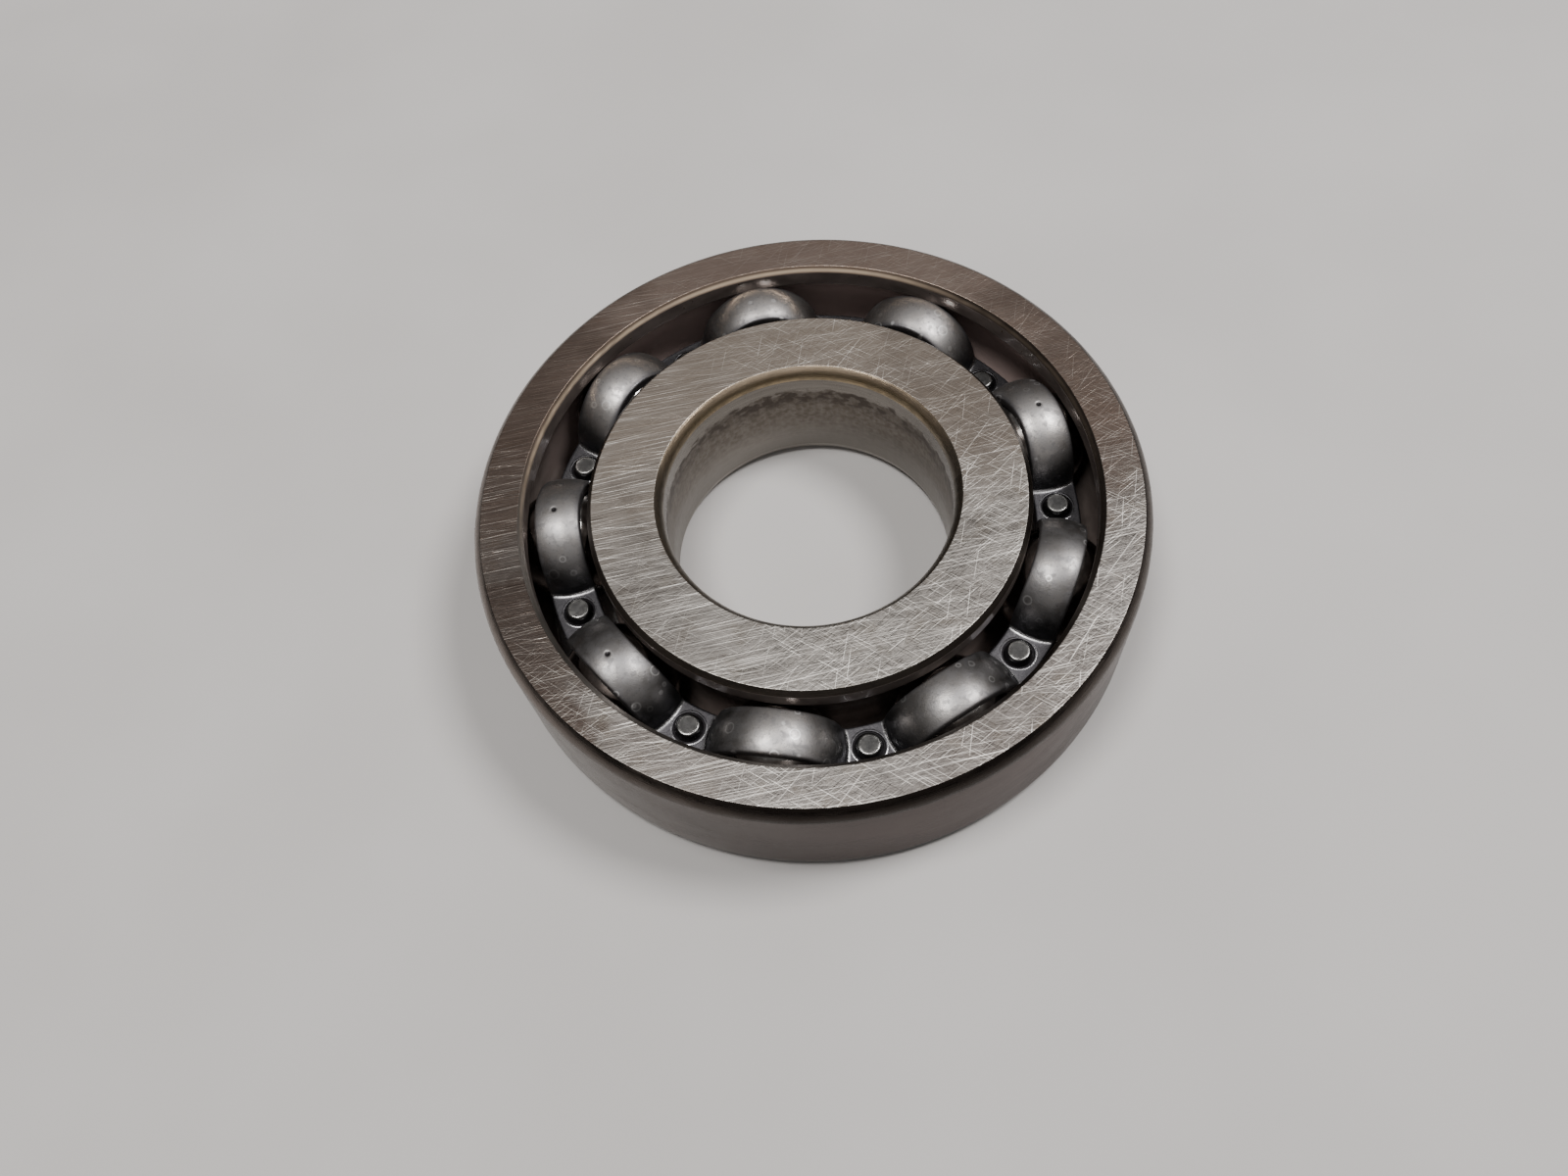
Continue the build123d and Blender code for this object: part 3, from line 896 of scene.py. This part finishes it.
def cage_material():
    """Pressed sheet: satin on the domes, darker and duller on the flats, with a painted highlight where it
    bends and on the burrs round the die marks. The crowns are lighter than the dark dome ends as painted
    light, lightest at the back and in the middle at the front, with drying rings and a film of oil; the cut
    edges of the domes are painted darker as painted shade, most at the back, and rougher. The die marks are
    dark with oil and painted shade."""
    n = material_nodes("cage_sheet")
    place = n.position()
    x, y, z = n.parts(place)
    z = n.away(z)
    dome = n.ramp(z, SHEET + 0.1, SHEET + 1.4)
    crown = n.ramp(z, SHEET + 1.5, SHEET + 6.5)
    cut = n.ramp(n.away(n.reach(x, y), PITCH_R), 2.2, 3.3)
    bend = n.times(n.ramp(z, SHEET, SHEET + 0.06), n.ramp(z, SHEET + 0.15, SHEET + 0.5, 1, 0))
    land = n.ramp(z, SHEET, SHEET + 0.06, 1, 0)
    from_rivet = n.from_rivet(place)
    burr = n.times(n.ramp(from_rivet, DIE_MARK_R + 0.18, DIE_MARK_R + 0.36, 1, 0), land)
    flank = n.times(n.ramp(n.away(burr, 0.5), 0.3, 0.5, 1, 0), land)
    sunk = n.ramp(z, SHEET - 0.03, SHEET - 0.01, 1, 0)
    mark = n.times(n.ramp(from_rivet, DIE_MARK_R - 0.02, DIE_MARK_R + 0.02, 1, 0), sunk)
    pit = n.ramp(n.from_pit(place), PIT_R - 0.12, PIT_R + 0.04, 1, 0)
    cloud = n.noise(place, 2.0, 5, 3)
    smudge = n.noise(place, 1.0, 4, 19, contrast=(0.50, 0.66))
    speck = n.noise(place, 0.22, 2, 31, contrast=(0.66, 0.74))
    fine = n.noise(place, 0.16, 3, 6)
    rings = n.total(n.drying_rings(place, 3.2, 0.75, 0.4, 2), n.drying_rings(place, 2.1, 0.45, 0.3, 11))
    # Painted light: crown tones lightest at the back and in the middle at the front, all lighter than the dome
    # ends
    ahead = n.blend(n.ramp(n.away(x), 8, 20), (0.41, 0.388, 0.372), (0.215, 0.204, 0.196))
    worn = n.blend(n.ramp(y, -20, 20), ahead, (0.49, 0.464, 0.447))
    colour = n.blend(dome, (0.058, 0.056, 0.062), (0.125, 0.125, 0.134))
    colour = n.blend(crown, colour, worn)
    colour = n.blend(n.times(cloud, crown, 0.6), colour, (0.21, 0.208, 0.215))
    colour = n.blend(n.times(smudge, dome, 0.5), colour, (0.10, 0.098, 0.103))
    colour = n.blend(n.times(fine, 0.3), colour, (0.20, 0.198, 0.205))
    # Painted shade over the domes' cut edges, strongest at the back
    colour = n.blend(n.times(cut, dome, n.ramp(y, -20, 20, 0.5, 0.95)), colour, (0.10, 0.098, 0.104))
    colour = n.blend(n.times(rings, crown, 0.5), colour, (0.70, 0.70, 0.70))
    # Painted highlight along the bends and on the flanks of the burrs round the die marks
    colour = n.blend(n.total(n.times(bend, 0.7), n.times(flank, 0.4)), colour, (0.55, 0.55, 0.56))
    colour = n.blend(n.times(speck, 0.7), colour, (0.05, 0.048, 0.05))
    # Die marks dark with oil and painted shade in the recess; pits dark marks
    colour = n.blend(n.math("MAXIMUM", n.times(mark, 0.92), n.times(pit, 0.95)), colour, (0.012, 0.011, 0.012))
    rough = n.total(
        n.ramp(dome, 0, 1, 0.40, 0.345), n.times(cloud, crown, 0.09), n.times(smudge, 0.08), n.times(cut, 0.1)
    )
    rough = n.math("SUBTRACT", rough, n.times(n.total(bend, flank), 0.16))
    normal = n.bump(n.total(fine, n.times(smudge, 0.8), n.times(burr, 5)), 0.006)
    return n.finish(
        colour=colour, rough=rough, normal=normal,
        coat=n.times(crown, 0.15), coat_rough=n.ramp(cloud, 0, 1, 0.05, 0.14),
    )


def rivet_material():
    """Formed rivet head: grey flat with a darker middle and a painted highlight round its edge, painted shade
    towards the right of the bearing, and dark and oily down its side, the dark being painted shade."""
    n = material_nodes("rivet_formed")
    place = n.position()
    x, _, z = n.parts(place)
    reach = n.painted("reach")
    flat_r = RIVET_TOP_R - RIVET_RIM_R
    top = n.ramp(n.away(z), RIVET_TOP - 0.40, RIVET_TOP - 0.22)
    cloud = n.noise(place, 0.7, 5, 7)
    fine = n.noise(place, 0.14, 3, 2)
    middle = n.ramp(n.total(reach, n.ramp(cloud, 0, 1, -0.25, 0.25)), 0.55, 1.1, 1, 0)
    # Painted highlight round the edge of the flat
    rim = n.times(
        n.ramp(reach, flat_r - 0.10, flat_r + 0.05), n.ramp(reach, flat_r + 0.20, flat_r + 0.34, 1, 0)
    )
    flat = n.blend(cloud, (0.075, 0.074, 0.072), (0.125, 0.124, 0.120))
    flat = n.blend(n.times(middle, 0.6), flat, (0.060, 0.060, 0.061))
    # Painted shade towards the right of the bearing
    flat = n.blend(n.ramp(x, -34, -12, 0, 0.65), flat, (0.022, 0.022, 0.023))
    flat = n.blend(n.times(rim, 0.4), flat, (0.45, 0.445, 0.435))
    # Painted shade: the steep side near black, where it reflects dark surroundings
    colour = n.blend(top, (0.018, 0.017, 0.018), flat)
    colour = n.blend(n.times(fine, top, 0.3), colour, (0.11, 0.108, 0.105))
    rough = n.total(n.ramp(top, 0, 1, 0.26, 0.36), n.times(cloud, 0.10), n.times(rim, -0.18))
    normal = n.bump(n.total(fine, n.times(cloud, 1.5)), 0.006)
    return n.finish(
        colour=colour, rough=rough, normal=normal, coat=0.4, coat_rough=n.ramp(fine, 0, 1, 0.05, 0.12)
    )


def oil_material():
    n = material_nodes("oil_amber")
    shade = n.noise(n.position(), 0.4, 2, 3)
    colour = n.blend(shade, (0.020, 0.013, 0.006), (0.045, 0.030, 0.014))
    return n.finish(colour=colour, metal=0.0, rough=n.ramp(shade, 0, 1, 0.03, 0.06))


def floor_material():
    n = material_nodes("floor_pale")
    place = n.position()
    cloud = n.noise(place, 60, 3, 2)
    colour = n.blend(cloud, (0.50, 0.485, 0.48), (0.54, 0.525, 0.52))
    return n.finish(colour=colour, metal=0.0, rough=n.ramp(cloud, 0, 1, 0.78, 0.84))


def wear(obj, *materials):
    obj.data.materials.clear()
    for material in materials:
        obj.data.materials.append(material)


def wear_ring(obj, wall_r, corner_reach, shoulder_r, outward, materials):
    """Gives each region of a ring its material, in this order: side faces, corners, plain wall, chamfers, ball
    side. outward is 1 for the outer ring, -1 for the inner ring."""
    face, corner, wall, chamfer, groove = range(len(materials))
    nearly, corner_depth = 0.02, 4
    wear(obj, *materials)
    for polygon in obj.data.polygons:
        x, y, z = polygon.center / MM
        radius, depth = hypot(x, y), HALF_WIDTH - abs(z)
        from_wall = outward * (wall_r - radius)
        from_shoulder = outward * (radius - shoulder_r)
        if depth < EDGE_ROUND / 2:
            region = face
        elif from_wall < nearly:
            region = wall
        elif from_wall < corner_reach + EDGE_ROUND and depth < corner_depth:
            region = corner
        elif from_shoulder > nearly and depth < CHAMFER_DROP:
            region = chamfer
        else:
            region = groove
        polygon.material_index = region


def register(obj, body, slot, *nodes):
    """Says which body a piece rides and the nodes that it replaces. Its slot is not used."""
    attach(obj, body)
    if nodes:
        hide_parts(*nodes)


def dress_rings():
    groove = groove_material()
    outer = make_outer_ring()
    register(outer, "outer_ring", "ring_steel", "outer_ring")
    materials = (
        # Second colour: painted shade for the back of the face
        face_material(
            "outer_ring_face", (0.325, 0.301, 0.283), (0.275, 0.188, 0.145), OUTER_CROSSING, OUTER_PAINTED_SHADE, 0.3
        ),
        corner_material(
            "outer_ring_corner", (0.030, 0.024, 0.021), (0.085, 0.072, 0.064), (0.058, 0.045, 0.036), 0.22
        ),
        outside_material(),
        # Light tone: painted light, as this chamfer faces the lamps
        chamfer_material("outer_ring_chamfer", (0.40, 0.37, 0.34), (0.075, 0.062, 0.052), 0.34, worn=True),
        groove,
    )
    wear_ring(outer, OUTER_R, OUTSIDE_CORNER_REACH, OUTER_SHOULDER_R, 1, materials)

    inner = make_inner_ring()
    register(inner, "inner_ring", "ring_steel", "inner_ring")
    materials = (
        # Second colour: painted shade for the back of the face
        face_material(
            "inner_ring_face", (0.51, 0.478, 0.447), (0.415, 0.345, 0.285), INNER_CROSSING, INNER_PAINTED_SHADE, 1.3
        ),
        # Painted highlight at the back: a lit golden colour, and a brighter one close under the face
        corner_material(
            "inner_ring_corner", (0.13, 0.11, 0.085), (0.165, 0.143, 0.115), (0.09, 0.075, 0.057), 0.30,
            lit_back_colour=(0.40, 0.315, 0.20), highlight_colour=(0.80, 0.64, 0.48),
        ),
        bore_material(),
        # Dark tone: painted shade, as this chamfer faces away from the lamps
        chamfer_material("inner_ring_chamfer", (0.11, 0.095, 0.082), (0.05, 0.041, 0.033), 0.30),
        groove,
    )
    wear_ring(inner, BORE_R, BORE_CORNER_REACH, INNER_SHOULDER_R, -1, materials)


def dress_cage():
    sheet = cage_material()
    for ribbon, side in (("cage_upper", 1), ("cage_lower", -1)):
        piece = make_ribbon(ribbon + "_pressed", side)
        register(piece, "cage", "cage_steel", ribbon)
        wear(piece, sheet)
    head = rivet_material()
    for name in RIVETS:
        piece = make_rivet(name)
        register(piece, "cage", "rivet_steel", name)
        wear(piece, head)


def dress_balls():
    ball = ball_material()
    for name in BALLS:
        node = frame["nodes"][name]
        wear(node, ball)
        shade_smooth(node.data)


def add_oil_beads():
    oil = oil_material()
    beads = (
        ("outer_ring", OUTER_SHOULDER_R, -1, OUTER_BEADS, OUTER_BEAD_SEED),
        ("inner_ring", INNER_SHOULDER_R, 1, INNER_BEADS, INNER_BEAD_SEED),
    )
    for ring, land_r, outward, count, seed in beads:
        piece = make_beads(ring + "_oil_beads", land_r, outward, count, seed)
        register(piece, ring, "ring_steel")
        wear(piece, oil)


def add_floor():
    corners = [(-1, -1), (1, -1), (1, 1), (-1, 1)]
    mesh = bpy.data.meshes.new("floor")
    mesh.from_pydata([(FLOOR_REACH * x, FLOOR_REACH * y, RING_LOW.z) for x, y in corners], [], [(0, 1, 2, 3)])
    floor = scene_object("floor", mesh)
    wear(floor, floor_material())


def add_camera():
    """Camera at the photograph's viewpoint."""
    data = bpy.data.cameras.new("camera")
    data.sensor_fit = "HORIZONTAL"
    data.sensor_width = CAMERA_SENSOR
    data.lens = CAMERA_LENS
    data.clip_start, data.clip_end = CAMERA_NEAR, CAMERA_FAR
    camera = scene_object("camera", data)
    camera.location = CAMERA_PLACE
    turns = ((CAMERA_YAW, "Z"), (90, "X"), (CAMERA_PITCH, "X"), (CAMERA_ROLL, "Z"))
    turn = Matrix.Identity(3)
    for angle, axis in turns:
        turn = turn @ Matrix.Rotation(radians(angle), 3, axis)
    camera.rotation_euler = turn.to_euler()
    bpy.context.scene.camera = camera


def add_lamp(name, direction, width, power, colour):
    """Soft round lamp that looks at the bearing from a direction."""
    data = bpy.data.lights.new(name, "AREA")
    data.shape = "DISK"
    data.size = width
    data.energy = power
    data.color = colour
    lamp = scene_object(name, data)
    towards = Vector(direction).normalized()
    lamp.location = towards * LAMP_DISTANCE
    lamp.rotation_euler = towards.to_track_quat("Z", "Y").to_euler()


def add_ceiling():
    """World light: a soft ceiling, brightest overhead and darker towards the left, with a glow high up behind
    the bearing and one halfway up ahead of it, and light low down that is dark only towards the viewer."""
    world = bpy.data.worlds.new("studio")
    bpy.context.scene.world = world
    n = Nodes(world)
    x, y, z = n.parts(n.add("TexCoord", {}, output="Generated"))
    overhead = n.times(n.ramp(z, 0.35, 0.97, 0.08, 0.26), n.ramp(x, -0.40, 0.05, 0.55, 1))
    low = n.times(n.ramp(z, 0.22, 0.04), n.ramp(y, -0.8, -0.1, 0.02, 1), 0.35)
    behind = n.times(n.ramp(y, 0.46, 0.62), n.ramp(z, 0.50, 0.72), 0.36)
    ahead = n.times(n.ramp(y, -0.45, -0.70), n.ramp(z, 0.33, 0.48), n.ramp(z, 0.85, 0.70), 0.45)
    strength = n.total(overhead, low, behind, ahead)
    n.output("World", n.add("Background", {"Color": CEILING_COLOUR, "Strength": strength}))


dress_rings()
dress_cage()
dress_balls()
add_oil_beads()
add_floor()
add_camera()
for name, lamp in LAMPS.items():
    add_lamp(name, *lamp)
add_ceiling()
